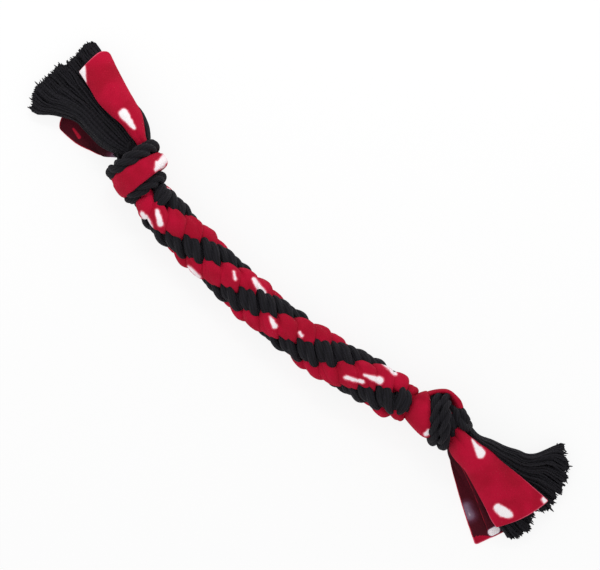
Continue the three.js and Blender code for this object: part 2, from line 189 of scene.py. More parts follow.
def photo_to_row(px, py):
    """The place in the row frame, seen from above, of a pixel of the photograph."""
    right = (px - PHOTO_WIDTH / 2) * PHOTO_SCALE
    up = (PHOTO_HEIGHT / 2 - py) * PHOTO_SCALE
    cos, sin = math.cos(PHOTO_TURN), math.sin(PHOTO_TURN)
    x = PHOTO_CENTRE[0] + right * cos - up * sin
    y = PHOTO_CENTRE[1] + right * sin + up * cos
    return np.array((x, y))


# White marks of the print that show from above: two points of the photograph and a radius at
# each, in pixels. A mark is the teardrop round them, and a seventh number makes its edge crisper.
BRAID_MARKS = (
    (143.2, 213.5, 146.5, 220, 1.5, 2.4), (147, 219, 151.5, 227, 3, 2.4),
    (158.8, 212, 162, 224.5, 1.8, 2.8), (166, 189, 172, 191, 1.2, 1.8),
    (189, 267, 199, 277, 1.4, 2), (234.5, 272, 236, 279, 0.9, 1.4), (254, 279, 263, 293, 1.6, 3.3),
    (270.5, 317, 275, 326, 1, 2.4), (299.5, 332.5, 301.5, 335.5, 1.2, 1.6),
    (345, 376.5, 362, 381, 1.6, 1.5), (364, 374, 379, 379.5, 0.8, 3.6),
    (381, 361.5, 395, 373.5, 0.8, 1.6),
)
KNOT_MARKS = (
    (166, 156, 165, 161, 2.4, 3.6), (164.5, 160, 161.5, 166, 3, 3.6),
    (163, 165, 158, 170.5, 3, 1.9), (158.5, 164, 159.5, 168, 1.4, 2.4),
    (427.5, 429.5, 425.5, 432.5, 1.6, 2.4),
)
LEFT_TAIL_MARKS = (
    (79, 66, 85.5, 84, 6.8, 1.6), (125.5, 115.5, 135.5, 129.5, 4.8, 1.4),
)
RIGHT_TAIL_MARKS = (
    (470.8, 438.8, 479, 451.6, 0.7, 4.5), (497, 507, 502, 511, 4, 5),
    (503, 512, 508.5, 514, 4.6, 3.4), (500, 508, 507, 511, 3.6, 2.6),
    (544, 499, 548, 503, 2.6, 4.2),
)
LEFT_RED_FOLD = ((71.5, 127.5, 77.5, 136, 0.4, 1.2),)
LEFT_LOWER_MARKS = ((112, 157, 122, 154, 3, 4.5),)
RIGHT_LOWER_MARKS = (
    (467.5, 508, 471, 517, 3.2, 4.4), (493, 534, 497.5, 531.5, 4.2, 4.2, 9),
)

# The distance to the nearest mark where there is none, and how steeply low marks close
NO_MARK = 20.0
MARK_CLOSING = 2.5


def mark_distance(points, marks, lowest=0.0):
    """How far points lie outside the nearest mark, seen from above, in millimetres.

    Below the lowest height a mark closes, so that it doesn't run down a round side.
    """
    nearest = np.full(points.shape[:-1], NO_MARK)
    for px0, py0, px1, py1, radius0, radius1, *crisp in marks:
        start, end = photo_to_row(px0, py0), photo_to_row(px1, py1)
        along = end - start
        offset = points[..., :2] - start
        share = np.clip(offset @ along / (along @ along), 0, 1)
        reach = np.linalg.norm(offset - share[..., None] * along, axis=-1)
        radius = mix(radius0, radius1, share) * PHOTO_SCALE
        sharpness = crisp[0] if crisp else 1
        nearest = np.minimum(nearest, (reach - radius) / MM * sharpness)
    return nearest + MARK_CLOSING * np.maximum(lowest - points[..., 2], 0) / MM


def scattered_distance(points, centres, directions, length, radius):
    """The same for marks of one size that are scattered over a surface, by their 3-D places."""
    nearest = np.full(points.shape[:-1], NO_MARK)
    for centre, direction in zip(centres, directions):
        offset = points - centre
        share = np.clip(offset @ direction / length, -0.5, 0.5)
        reach = np.linalg.norm(offset - share[..., None] * direction * length, axis=-1)
        nearest = np.minimum(nearest, (reach - radius * (1 + share)) / MM)
    return nearest


UV_MAP = "along_and_round"


def new_object(name, data):
    thing = bpy.data.objects.new(name, data)
    bpy.context.scene.collection.objects.link(thing)
    return thing


class Skin:
    """Gathers grids of rings into one mesh, with a UV map, mark distances and pale rims, partly
    painted highlight.
    """

    def __init__(self):
        self.points, self.faces, self.uvs = [], [], []
        self.marks, self.rims, self.parts = [], [], []
        self.count = 0

    def add(self, grid, along, marks=None, part=0, rims=None):
        """Adds rows of rings. Each ring closes on itself, and faces join it to the next."""
        rows, columns = grid.shape[:2]
        k, i = (places.ravel() for places in np.indices((rows - 1, columns)))
        corners = ((k, i), (k, i + 1), (k + 1, i + 1), (k + 1, i))
        faces = [self.count + row * columns + column % columns for row, column in corners]
        uvs = [np.stack((along[row], column / columns), -1) for row, column in corners]
        self.points.append(grid.reshape(-1, 3))
        self.faces.append(np.stack(faces, -1))
        self.uvs.append(np.stack(uvs, 1))
        self.marks.append(np.full(rows * columns, NO_MARK) if marks is None else marks.ravel())
        self.rims.append(np.zeros(rows * columns) if rims is None else rims.ravel())
        self.parts.append(np.full(len(k), part))
        self.count += rows * columns

    def close_ends(self, rows, columns):
        """Closes both ends of the grid added last, where its rings are flat double strips."""
        first = self.count - rows * columns
        i = np.arange(columns // 2 - 1)
        strip = np.stack((i, i + 1, columns - 2 - i, columns - 1 - i), -1)
        for start, faces in ((first, strip[:, ::-1]), (first + (rows - 1) * columns, strip)):
            self.faces.append(start + faces)
            self.uvs.append(np.zeros((len(i), 4, 2)))
            self.parts.append(np.zeros(len(i), int))

    def build(self, name, slot, replaced=(), body=None, lining=()):
        """Makes the piece. It rides its body, or none if no body is given."""
        mesh = bpy.data.meshes.new(name)
        points = np.concatenate(self.points)
        points[:, 2] = np.maximum(points[:, 2], GROUND_GAP)
        mesh.from_pydata(points.tolist(), [], np.concatenate(self.faces).tolist())
        layer = mesh.uv_layers.new(name=UV_MAP)
        layer.data.foreach_set("uv", np.concatenate(self.uvs).astype(np.float32).ravel())
        for attribute, values in (("mark", self.marks), ("rim", self.rims)):
            layer = mesh.attributes.new(attribute, "FLOAT", "POINT")
            layer.data.foreach_set("value", np.concatenate(values).astype(np.float32))
        for material in (MATERIALS[slot], *lining):
            mesh.materials.append(material)
        mesh.polygons.foreach_set("material_index", np.concatenate(self.parts).astype(np.int32))
        mesh.polygons.foreach_set("use_smooth", np.ones(len(mesh.polygons), bool))
        mesh.update()
        piece = new_object(name, mesh)
        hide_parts(*replaced)
        if body:
            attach(piece, body)
        return piece


# Camera, lights and floor

FLOOR_SIZE = 3.0
FLOOR_GREY = 0.92
FLOOR_GLOW = 0.85
STUDIO_LIGHT = 0.85
WHITE = (1, 1, 1, 1)


def make_camera():
    """Looks straight down, with the photograph's scale at the height of the braid's middle."""
    data = bpy.data.cameras.new("camera")
    data.sensor_width = SENSOR_WIDTH
    depth = CAMERA_HEIGHT - BRAID_REST
    data.lens = SENSOR_WIDTH * depth / (PHOTO_WIDTH * PHOTO_SCALE)
    data.clip_end = VIEW_LIMIT
    camera = new_object("camera", data)
    camera.location = (*PHOTO_CENTRE, CAMERA_HEIGHT)
    camera.rotation_euler = (0, 0, PHOTO_TURN)
    bpy.context.scene.camera = camera


def add_light(name, place, size, power):
    """A round soft light that points at the frame's origin."""
    data = bpy.data.lights.new(name, "AREA")
    data.shape = "DISK"
    data.size = size
    data.energy = power
    light = new_object(name, data)
    light.location = place
    x, y, z = -np.array(place)
    light.rotation_euler = (math.atan2(math.hypot(x, y), -z), 0, math.atan2(x, -y))


class Nodes:
    """A short way to write a material's nodes. An input takes a number or another's output."""

    def __init__(self, tree):
        self.tree = tree
        tree.nodes.clear()

    def add(self, kind, inputs=None, **settings):
        node = self.tree.nodes.new("ShaderNode" + kind)
        for key, value in settings.items():
            setattr(node, key, value)
        for socket, value in (inputs or {}).items():
            if isinstance(value, bpy.types.NodeSocket):
                self.tree.links.new(value, node.inputs[socket])
            else:
                node.inputs[socket].default_value = value
        return node

    def math(self, operation, a, b=0.0, c=0.0):
        return self.add("Math", {0: a, 1: b, 2: c}, operation=operation).outputs[0]

    def ramp(self, value, low, high, start=0.0, end=1.0):
        inputs = {0: value, 1: low, 2: high, 3: start, 4: end}
        return self.add("MapRange", inputs, interpolation_type="SMOOTHSTEP").outputs[0]

    def colour(self, factor, first, second):
        inputs = {"Factor": factor, 6: first, 7: second}
        return self.add("Mix", inputs, data_type="RGBA").outputs[2]

    def noise(self, vector, scale, detail, roughness):
        inputs = {"Vector": vector, "Scale": scale, "Detail": detail, "Roughness": roughness}
        return self.add("TexNoise", inputs).outputs[0]


def srgb(*colour):
    """A colour from its 8-bit values, with the alpha that a socket also wants."""
    shares = [value / 255 for value in colour]
    return (*(s / 12.92 if s <= 0.04045 else ((s + 0.055) / 1.055) ** 2.4 for s in shares), 1)


def new_material(name):
    material = bpy.data.materials.new(name)
    material.use_nodes = True
    return material, Nodes(material.node_tree)


def finish_material(nodes, colour, height, relief, roughness, sheen, tint):
    """A rough cloth surface with a relief and a little sheen."""
    bump = nodes.add("Bump", {"Height": height, "Strength": 1.0, "Distance": relief})
    shader = nodes.add("BsdfPrincipled", {
        "Base Color": colour, "Normal": bump.outputs[0], "Metallic": 0.0, "IOR": 1.45,
        "Specular IOR Level": 0.25, "Roughness": roughness, "Sheen Weight": sheen,
        "Sheen Roughness": 0.5, "Sheen Tint": tint,
    })
    nodes.add("OutputMaterial", {"Surface": shader.outputs[0]})


# Noises: scale, detail and roughness. The fleece's are its pile, tufts, patches and ragged marks.
FLEECE_NOISES = ((900, 6, 0.75), (260, 3, 0.5), (55, 2, 0.5), (330, 4, 0.6))
ROPE_WANDER = (240, 3, 0.6)
ROPE_PATCHES = (120, 2, 0.6)
ROPE_TINT = (0.6, 0.56, 0.66, 1)

# Where a mark's edge, its pale band and its white begin and end, in millimetres from its outline
MARK_WANDER = 1.0
EDGE_START, EDGE_END = 1.2, 0.1
PALE_START = 0.45
WHITE_START, WHITE_END = -0.5, -1.2


def make_fleece(name, colours, blur, sheen):
    """Brushed fleece: a soft pile, with white marks whose edges are more or less blurred."""
    dark, light, fuzz, rim_and_highlight, white, pale, edge = (srgb(*colour) for colour in colours)
    material, nodes = new_material(name)
    place = nodes.add("TexCoord").outputs["Object"]
    pile, tufts, patches, ragged = (nodes.noise(place, *kind) for kind in FLEECE_NOISES)
    mark, rim = (nodes.add("Attribute", attribute_name=a).outputs["Fac"] for a in ("mark", "rim"))
    distance = nodes.math("MULTIPLY_ADD", ragged, 2 * MARK_WANDER, mark)
    distance = nodes.math("SUBTRACT", distance, MARK_WANDER)
    base = nodes.colour(nodes.ramp(patches, 0.3, 0.7), dark, light)
    for value, limits, colour in (
        (pile, (0.52, 0.85, 0, 0.5), fuzz),
        (distance, (EDGE_START * blur, EDGE_END, 0, 0.75), edge),
        (distance, (PALE_START * blur, -PALE_START * blur), pale),
        (distance, (WHITE_START * blur, WHITE_END * blur), white),
        # Pale cut edges, and on the braid's leaves a fold rim that is partly painted highlight
        (rim, (0.3, 1.0), rim_and_highlight),
    ):
        base = nodes.colour(nodes.ramp(value, *limits), base, colour)
    height = nodes.math("MULTIPLY_ADD", tufts, 1.2, pile)
    finish_material(nodes, base, height, 0.35 * MM, 0.95, sheen, fuzz)
    return material


def make_rope(name, lines_round, slant, fibre_scale, relief):
    """Black cotton: lines of yarn at a slant to the rope, with finer fibres along them."""
    material, nodes = new_material(name)
    uv = nodes.add("UVMap", uv_map=UV_MAP).outputs[0]
    place = nodes.add("TexCoord").outputs["Object"]
    along, around, _ = nodes.add("SeparateXYZ", {0: uv}).outputs
    turned = nodes.math("MULTIPLY_ADD", along, slant, nodes.math("MULTIPLY", around, lines_round))
    wander = nodes.math("MULTIPLY", nodes.noise(place, *ROPE_WANDER), 0.9)
    line = nodes.math("SINE", nodes.math("MULTIPLY", nodes.math("ADD", turned, wander), math.tau))
    fibres = nodes.noise(place, fibre_scale, 5, 0.7)
    patches = nodes.noise(place, *ROPE_PATCHES)
    shade = nodes.math("MULTIPLY_ADD", line, 0.2, fibres)
    cool = nodes.colour(nodes.ramp(patches, 0.35, 0.65), srgb(8, 7, 11), srgb(12, 10, 16))
    colour = nodes.colour(nodes.ramp(shade, 0.35, 0.95), cool, srgb(27, 25, 33))
    height = nodes.math("MULTIPLY_ADD", line, 0.5, fibres)
    finish_material(nodes, colour, height, relief, 0.8, 0.05, ROPE_TINT)
    return material


def make_floor():
    """White paper, which the camera sees a little brighter than it lights the toy."""
    mesh = bpy.data.meshes.new("floor")
    corners = [(x * FLOOR_SIZE, y * FLOOR_SIZE, 0) for x, y in ((-1, -1), (1, -1), (1, 1), (-1, 1))]
    mesh.from_pydata(corners, [], [(0, 1, 2, 3)])
    material, nodes = new_material("floor_paper")
    diffuse = nodes.add("BsdfDiffuse", {"Color": (*[FLOOR_GREY] * 3, 1)})
    glow = nodes.add("Emission", {"Color": WHITE, "Strength": 1.0})
    seen = nodes.add("LightPath").outputs["Is Camera Ray"]
    share = nodes.math("MULTIPLY", seen, FLOOR_GLOW)
    shader = nodes.add("MixShader", {0: share, 1: diffuse.outputs[0], 2: glow.outputs[0]})
    nodes.add("OutputMaterial", {"Surface": shader.outputs[0]})
    mesh.materials.append(material)
    new_object("floor", mesh)


def make_world():
    """An even white studio, which lights the toy a little less than it shows."""
    world = bpy.data.worlds.new("studio")
    world.use_nodes = True
    nodes = Nodes(world.node_tree)
    path = nodes.add("LightPath")
    seen = nodes.math("MAXIMUM", path.outputs["Is Camera Ray"], path.outputs["Is Glossy Ray"])
    back = nodes.add("Background", {0: WHITE, 1: nodes.ramp(seen, 0, 1, STUDIO_LIGHT, 1.0)})
    nodes.add("OutputWorld", {0: back.outputs[0]})
    bpy.context.scene.world = world


make_camera()
make_floor()
make_world()
add_light("key", (-0.7, 0.9, 1.3), size=0.9, power=42)
add_light("fill", (0.9, -0.8, 1.1), size=1.2, power=20)
bpy.context.scene.view_settings.view_transform = "Standard"

# Colours of the fleece: dark, light, fuzz, pale rim, a mark's white, its pale band and its edge
# The pale rim is the cut edge, and on the braid's leaves partly painted highlight
FACE_COLOURS = (
    (158, 2, 36), (182, 4, 48), (204, 34, 70), (222, 84, 112),
    (252, 247, 249), (250, 240, 244), (236, 120, 140),
)
# The back's colours: its own duller side darkened further by painted shade, which also greys its
# marks
BACK_AND_PAINTED_SHADE_COLOURS = (
    (52, 6, 17), (78, 10, 26), (104, 28, 46), (196, 24, 54),
    (250, 242, 246), (132, 106, 128), (100, 48, 70),
)
MATERIALS = {
    "fleece_face": make_fleece("fleece_face", FACE_COLOURS, blur=1.0, sheen=0.22),
    "fleece_back": make_fleece("fleece_back", BACK_AND_PAINTED_SHADE_COLOURS, blur=3.5, sheen=0.1),
    "rope": make_rope("black_rope", lines_round=15, slant=90, fibre_scale=1500, relief=0.3 * MM),
    "rope_yarn": make_rope(
        "black_yarn", lines_round=2, slant=420, fibre_scale=2500, relief=0.12 * MM
    ),
}


# The braid's middle line, and the strands that wind round it


def braid_curve(v):
    """The braid's middle line, from the left neck at 0 to the right neck at 1."""
    left_rise = np.maximum(0, 1 - v / NECK_RISE_SHARE) ** 2
    right_rise = np.maximum(0, 1 - (1 - v) / NECK_RISE_SHARE) ** 2
    x = mix(LEFT_NECK[0], RIGHT_NECK[0], v)
    y = mix(LEFT_NECK[1], RIGHT_NECK[1], v) - BRAID_BOW * 4 * v * (1 - v)
    for place, width, shift in BRAID_SWAYS:
        y = y + shift * np.exp(-(((v - place) / width) ** 2))
    z = BRAID_REST + (LEFT_NECK[2] - BRAID_REST) * left_rise
    return np.stack((x, y, z + (RIGHT_NECK[2] - BRAID_REST) * right_rise), -1)


def distances(path):
    """How far each point of a path is along it."""
    return np.concatenate(([0], np.cumsum(np.linalg.norm(np.diff(path, axis=0), axis=1))))


CURVE_STEPS = np.linspace(0, 1, 801)
CURVE_STEP = 1e-4
CURVE_ALONG = distances(braid_curve(CURVE_STEPS))
BRAID_LENGTH = CURVE_ALONG[-1]
STITCH_PITCH = BRAID_LENGTH / STITCHES


def braid_frame(along):
    """Middle, side and upward direction of the braid at a distance along it."""
    v = np.interp(along, CURVE_ALONG, CURVE_STEPS)
    ahead = braid_curve(np.minimum(v + CURVE_STEP, 1))
    direction = unit(ahead - braid_curve(np.maximum(v - CURVE_STEP, 0)))
    side = unit(np.cross(UP, direction))
    beyond = along - np.clip(along, 0, BRAID_LENGTH)
    return braid_curve(v) + beyond[..., None] * direction, side, np.cross(direction, side)


def strand_angle(index, along):
    """The angle at which a strand lies round the braid, which unwinds at the left neck."""
    share = np.clip(along / BRAID_LENGTH, 0, 1)
    wound = share + TWIST_CROWD * share * (1 - share)
    angle = FIRST_STRAND_ANGLE + index * math.pi / 2 - math.tau * BRAID_TURNS * wound
    return angle - LEFT_UNWINDING * np.exp(-along / UNWINDING_LENGTH)


def neck_scale(along):
    """How thick the braid is: it narrows at the necks and swells in places."""
    from_end = np.minimum(along / LEFT_NECK_TAPER, (BRAID_LENGTH - along) / RIGHT_NECK_TAPER)
    shoulder = np.clip(from_end, 0, 1)
    swell = 1 + sum(
        more * np.exp(-(((along / BRAID_LENGTH - place) / width) ** 2))
        for place, width, more in BRAID_SWELLS
    )
    return mix(NECK_SHARE, 1, np.sqrt(1 - (1 - shoulder) ** 2)) * swell


def braid_point(along, angle, radius):
    middle, side, up = braid_frame(along)
    around = side * np.cos(angle)[..., None] + up * np.sin(angle)[..., None]
    return middle + around * radius[..., None], around


# Cross sections and sweeps


def rope_section(around, turned):
    """The radius of a three-ply rope, as a share, at angles round it."""
    ply = 1 / (1 + 2 / math.sqrt(3))
    centre, wide = 1 - ply, ply * PLY_FULLNESS
    nearest = (around + turned + math.pi / 3) % (math.tau / 3) - math.pi / 3
    inside = np.maximum(wide**2 - (centre * np.sin(nearest)) ** 2, 0)
    return (centre * np.cos(nearest) + np.sqrt(inside)) / (centre + wide)


def sweep_grid(path, normals, half_width, half_height, section):
    """Rings of points round a path, wide across the normals and high along them."""
    tangents = unit(np.gradient(path, axis=0))
    normals = unit(normals - np.sum(normals * tangents, -1, keepdims=True) * tangents)
    sides = np.cross(tangents, normals)
    along = distances(path)
    radius = section(RING[None, :], along[:, None])
    across = (radius * np.cos(RING) * half_width[:, None])[..., None] * sides[:, None]
    out = (radius * np.sin(RING) * half_height[:, None])[..., None] * normals[:, None]
    return path[:, None] + across + out, along


def laid_rope(start, lead=ROPE_LEAD):
    return lambda around, along: rope_section(around, start + math.tau * along / lead)


def fleece_section(power, crease, depth, width, drift):
    """A soft oval with one crease along it, which drifts round it."""

    def section(around, along):
        oval = (np.abs(np.cos(around)) ** power + np.abs(np.sin(around)) ** power) ** (-1 / power)
        return oval - depth * np.exp(-(((around - crease - drift(along)) / width) ** 2))

    return section


def bunched_fleece(crease, depth):
    return fleece_section(2.2, crease, depth, 0.2, lambda along: 18 * along)


def folded_band(crease, depth):
    """A broader oval, creased along its outer face where the strip is folded."""
    return fleece_section(2.7, crease, depth, 0.16, lambda along: 0.25 * np.sin(along * 90))


def leaf_shape(share, swell, pointed):
    """A stitch's width and height along it, and how far its section keeps its own form."""
    full = np.maximum(1 - np.abs(share) ** swell, 0.0) ** pointed
    height = np.maximum(full**LEAF_HEIGHT_POWER, LEAF_TIP)
    return np.maximum(full, LEAF_TIP), height, np.minimum(1, LEAF_BLUNTNESS * full)[:, None]


def stitch(index, number, size, overrun, leaf, tilt, section):
    """One stitch of a strand: it rises out of the braid, lies over it and dives again."""
    last = number == STITCHES - 1
    share = np.linspace(-overrun, overrun, STITCH_STEPS)
    middle = (number + STITCH_PHASE) * STITCH_PITCH
    skew = min(1, (number + 1) / 2, (STITCHES - number + END_SKEW) / 2) * STITCH_SKEW
    bend = END_STITCH_BEND if last else 0.0
    along = np.maximum(middle + STITCH_PITCH * skew * share - bend * share**2, 0)
    scale = neck_scale(along) * (END_STITCH_SIZE if last and index % 2 else 1)
    angle = strand_angle(index, along) + share * STITCH_TURN
    crest = np.clip(np.abs(share - STITCH_CREST) / overrun, 0, 1)
    radius = (BRAID_RADIUS - size[1] - STITCH_DIVE * crest**3) * scale
    path, out = braid_point(along, angle, radius)
    out = out * math.cos(tilt) + np.cross(unit(np.gradient(path, axis=0)), out) * math.sin(tilt)
    width, height, blunt = leaf_shape(share / (overrun * LEAF_REACH), *leaf)

    def blunted(around, at):
        return mix(TIP_SECTION, section(around, at), blunt)

    return sweep_grid(path, out, size[0] * width * scale, size[1] * height * scale, blunted)


def inner_run(index, section):
    """The hidden part of a strand, which winds on inside the braid."""
    along = np.linspace(0, BRAID_LENGTH, 161)
    scale = neck_scale(along)
    path, out = braid_point(along, strand_angle(index, along), INNER_REACH * scale)
    return sweep_grid(path, out, INNER_STRAND * scale, INNER_STRAND * scale, section)


# Marks on stitches that don't face up, which the photograph doesn't show: strand and stitch
LOW_MARKS = ((1, 6), (3, 9), (1, 13), (3, 17), (1, 20), (3, 4))
LOW_MARK_HEIGHT = 12 * MM
LOW_MARK_SIZE = (7 * MM, 2 * MM)
BRAID_MARK_HEIGHT = BRAID_REST + 1.5 * MM


def braid_marks(grid):
    return mark_distance(grid, BRAID_MARKS, BRAID_MARK_HEIGHT)


def rope_stitch(index, number):
    length = ROPE_OVERRUN * math.hypot(STITCH_SKEW * STITCH_PITCH, BRAID_RADIUS * STITCH_TURN)
    start = rng.normal(0, 0.3) - math.pi / 2 - math.tau * length / BRAID_LEAD
    overrun = ROPE_OVERRUN * (END_STITCH if number == 0 else 1)
    section = laid_rope(start, BRAID_LEAD)
    return stitch(index, number, ROPE_STITCH, overrun, ROPE_LEAF, 0.0, section)


def fleece_stitch(index, number):
    """A slightly uneven stitch with its marks, and a pale fold rim on one side, partly painted
    highlight.
    """
    section = bunched_fleece(rng.uniform(0.9, 2.2), rng.uniform(0.1, 0.26))
    overrun = FLEECE_OVERRUN * (1 if 0 < number < STITCHES - 1 else END_STITCH)
    size, leaf, tilt = FLEECE_STITCH, FLEECE_LEAF, STITCH_TILT
    grid, along = stitch(index, number, size, overrun, leaf, tilt, section)
    grid = grid + 0.25 * MM * ripple(grid, 9 * MM, 5)[..., None] * UP
    marks = np.minimum(braid_marks(grid), low_distance(grid))
    # A pale rim along one side of the leaf: the fold's edge, partly painted highlight
    rims = 0.5 * np.exp(-(((RING - LEAF_RIM) / LEAF_RIM_WIDTH) ** 2))
    return grid, along, marks, 0, rims * (0.6 + 0.4 * ripple(grid, 15 * MM, 8))


def make_strand(index, kind, order, slot, make_stitch, inner_section):
    """One of the braid's four strands: its stitches, and its hidden run inside the braid."""
    skin = Skin()
    for number in range(STITCHES):
        skin.add(*make_stitch(index, number))
    skin.add(*inner_run(index, inner_section))
    skin.build(f"braid_{kind}_{order}", slot, [f"braid_{kind}_strand_{order}"], "braid")


def stitch_place(index, number):
    """The crest of a stitch, and the direction of its strand there."""
    share = np.array((-0.2, 0.3))
    along = (number + STITCH_PHASE + STITCH_SKEW * share) * STITCH_PITCH
    angle = strand_angle(index, along) + share * STITCH_TURN
    places, _ = braid_point(along, angle, np.full(2, BRAID_RADIUS))
    return places.mean(0), unit(places[1] - places[0])


def low_distance(points):
    """The distance to the nearest low mark whose stitch really faces down or sideways."""
    places = (stitch_place(index, number) for index, number in LOW_MARKS)
    centres, directions = zip(*(place for place in places if place[0][2] < LOW_MARK_HEIGHT))
    return scattered_distance(points, centres, directions, *LOW_MARK_SIZE)


for strand in (1, 2):
    make_strand(2 * strand - 2, "rope", strand, "rope", rope_stitch, laid_rope(0))
for strand in (1, 2):
    inner_fleece = bunched_fleece(1.5, 0.1)
    make_strand(2 * strand - 1, "fleece", strand, "fleece_face", fleece_stitch, inner_fleece)


# Knots


class KnotFrame:
    """A knot's centre, its axis and its level side direction."""

    def __init__(self, centre, angle):
        self.centre, self.angle, self.axis = centre, angle, heading(angle)
        self.side = np.cross(UP, self.axis)

    def out(self, angle):
        return np.cos(angle)[..., None] * self.side + np.sin(angle)[..., None] * UP

    def point(self, offset, angle, radius):
        offset, angle, radius = np.broadcast_arrays(offset, angle, radius)
        return self.centre + offset[..., None] * self.axis + radius[..., None] * self.out(angle)


left_knot = KnotFrame(LEFT_NECK + LEFT_KNOT_REACH * heading(LEFT_KNOT_HEADING), LEFT_KNOT_HEADING)
right_centre = RIGHT_NECK + np.array((*RIGHT_KNOT_REACH, 0.0))
right_knot = KnotFrame(right_centre, RIGHT_KNOT_HEADING)
KNOTS = {"left": left_knot, "right": right_knot}

# A turn: the angles it covers, and the shares of it at which it dives and at which it narrows
TURN_ANGLES = np.linspace(math.radians(215), math.radians(585), 120)
TURN_DIVE_START, TURN_DIVE = 0.86, 5 * MM
TURN_TIP_START, TURN_TIP = 0.96, 0.75
KNOT_MARK_HEIGHT = 17 * MM

# Turns round the knots: offset along the axis, lean, outer radius, half width and half height,
# and how far aside. Nose passes: offset, lean, radius of the rope, and how far aside. Cone: share
# of its length and radius. Shoulder: share, offset, angle in degrees, radius and half height.
# Lengths in millimetres.
LEFT_ROPE_TURNS = {
    "mouth": (7.4, 0.04, 19.2, 4.9, 4.6, -0.8), "neck": (-11.4, 0.06, 15.2, 4.2, 4.6, 1.5),
}
LEFT_BAND = (-2.2, 0.03, 18.6, 6.6 + 1.4 * np.cos(TURN_ANGLES), 4.8, -0.5)
RIGHT_ROPE_TURNS = {
    "small": (-5.4, -0.08, 17.6, 3.9, 4.6, 0.3), "large": (0.2, -0.04, 18.9, 3.9, 4.6, -1.4),
}
NOSE_PASSES = ((5.4, 0.1, 5.4, 0.6), (11.2, 0.5, 5.2, -1.2))
NOSE_REACH = (3.6, 7.4)
NOSE_LEAD = -19 * MM
CONE_LENGTH = 20 * MM
CONE_START_HEADING = math.radians(13)
CONE_ROWS = ((0, 5.8), (0.2, 9.0), (0.5, 12.2), (0.85, 14.2), (1, 13.4))
SHOULDER_ROWS = (
    (0, -14, 2, 12.2, 1.8), (0.25, -8.0, 0, 15.5, 1.6), (0.48, -0.3, 0, 16.8, 1.5),
    (0.66, 3.8, 0, 15.8, 1.6), (0.83, 6.6, -2, 11.6, 2.4), (1, 9.2, -8, 5.6, 2.8),
)
SHOULDER_HALF_WIDTH = 6.5 * MM


def knot_turn(knot, turn, section):
    """A turn round a knot, whose two ends dive into the knot."""
    offset, lean, outer, half_width, half_height, aside = turn
    share = np.abs(np.linspace(-1, 1, len(TURN_ANGLES)))
    dive = np.clip((share - TURN_DIVE_START) / (1 - TURN_DIVE_START), 0, 1) ** 2
    radius = (outer - half_height) * MM - TURN_DIVE * dive
    offset = offset * MM - lean * radius * np.cos(TURN_ANGLES)
    path = knot.point(offset, TURN_ANGLES, radius) + aside * MM * knot.side
    taper = MM * (1 - TURN_TIP * np.clip((share - TURN_TIP_START) / (1 - TURN_TIP_START), 0, 1))
    return sweep_grid(path, knot.out(TURN_ANGLES), half_width * taper, half_height * taper, section)


BUNDLE_STEPS, BUNDLE_TWIST = 40, 1.2


def bundle(knot, start, end, kind, aside=0.0, spread=4.3):
    """Two strands of one kind, fleece or rope, where all four pass through a knot."""
    offset = np.linspace(start, end, BUNDLE_STEPS) * MM
    share = np.linspace(0, 1, BUNDLE_STEPS)
    for turn in (0, math.pi):
        angle = kind * math.pi / 2 + turn + BUNDLE_TWIST * share
        path = knot.point(offset, angle, spread * MM) + knot.side * (aside * MM * share**2)[:, None]
        half = np.full(40, spread * MM)
        section = laid_rope(turn) if kind else bunched_fleece(1.5, 0.12)
        yield sweep_grid(path, knot.out(angle), half, half, section)


def cone_grid():
    """The wide fleece turn between the braid and the right knot's first rope turn."""
    share = np.linspace(0, 1, 40)
    base = right_knot.point(-8.6 * MM, 0.0, 1.2 * MM)
    start = RIGHT_NECK - heading(CONE_START_HEADING) * 1.0 * MM
    turn = mix(CONE_START_HEADING, RIGHT_KNOT_HEADING, share)
    around = np.arange(RING_POINTS * 2) * math.pi / RING_POINTS
    section = folded_band(0.8, 0.08)(around[None, :], share[:, None] * CONE_LENGTH)
    sides = np.stack((-np.sin(turn), np.cos(turn), np.zeros(40)), -1)
    middle = mix(start, base, share[:, None])
    reach = (section * smooth_table(share, CONE_ROWS)[0][:, None] * MM)[..., None]
    across = np.cos(around)[None, :, None] * sides[:, None] + np.sin(around)[None, :, None] * UP
    return middle[:, None] + reach * across, share * CONE_LENGTH


def shoulder_grid():
    """The fleece strip that passes along the knot's far side, outside the rope turns."""
    offset, angle, radius, half = smooth_table(np.linspace(0, 1, 60), SHOULDER_ROWS)
    angle = np.radians(angle)
    path = right_knot.point(offset * MM, angle, radius * MM)
    wide = np.full(60, SHOULDER_HALF_WIDTH)
    return sweep_grid(path, right_knot.out(angle), wide, half * MM, folded_band(1.2, 0.1))


def nose_grid(offset, lean, size, aside):
    """One of the two short rope passes that lean over the knot's mouth."""
    angle = np.radians(np.linspace(-75, 205, 90))
    across, upward = NOSE_REACH[0] * np.cos(angle), NOSE_REACH[1] * np.sin(angle)
    parts = (offset - lean * across, across + aside, upward)
    axes = (right_knot.axis, right_knot.side, UP)
    path = right_knot.centre + sum(part[:, None] * MM * axis for part, axis in zip(parts, axes))
    half = np.full(len(angle), size * MM)
    return sweep_grid(path, right_knot.out(angle), half, half, laid_rope(0.6, NOSE_LEAD))


def knot_piece(side, part, slot, grids, node=None):
    """A piece of a knot. Its fleece is a little uneven and has its own marks."""
    skin = Skin()
    for grid, along in grids:
        marks = None
        if slot == "fleece_face":
            grid = grid + 0.3 * MM * ripple(grid, 11 * MM, 3)[..., None] * UP
            marks = mark_distance(grid, KNOT_MARKS, KNOT_MARK_HEIGHT)
        skin.add(grid, along, marks)
    nodes = [f"{side}_knot_{node}"] if node else []
    skin.build(f"{side}_knot_{part}", slot, nodes, f"{side}_end")


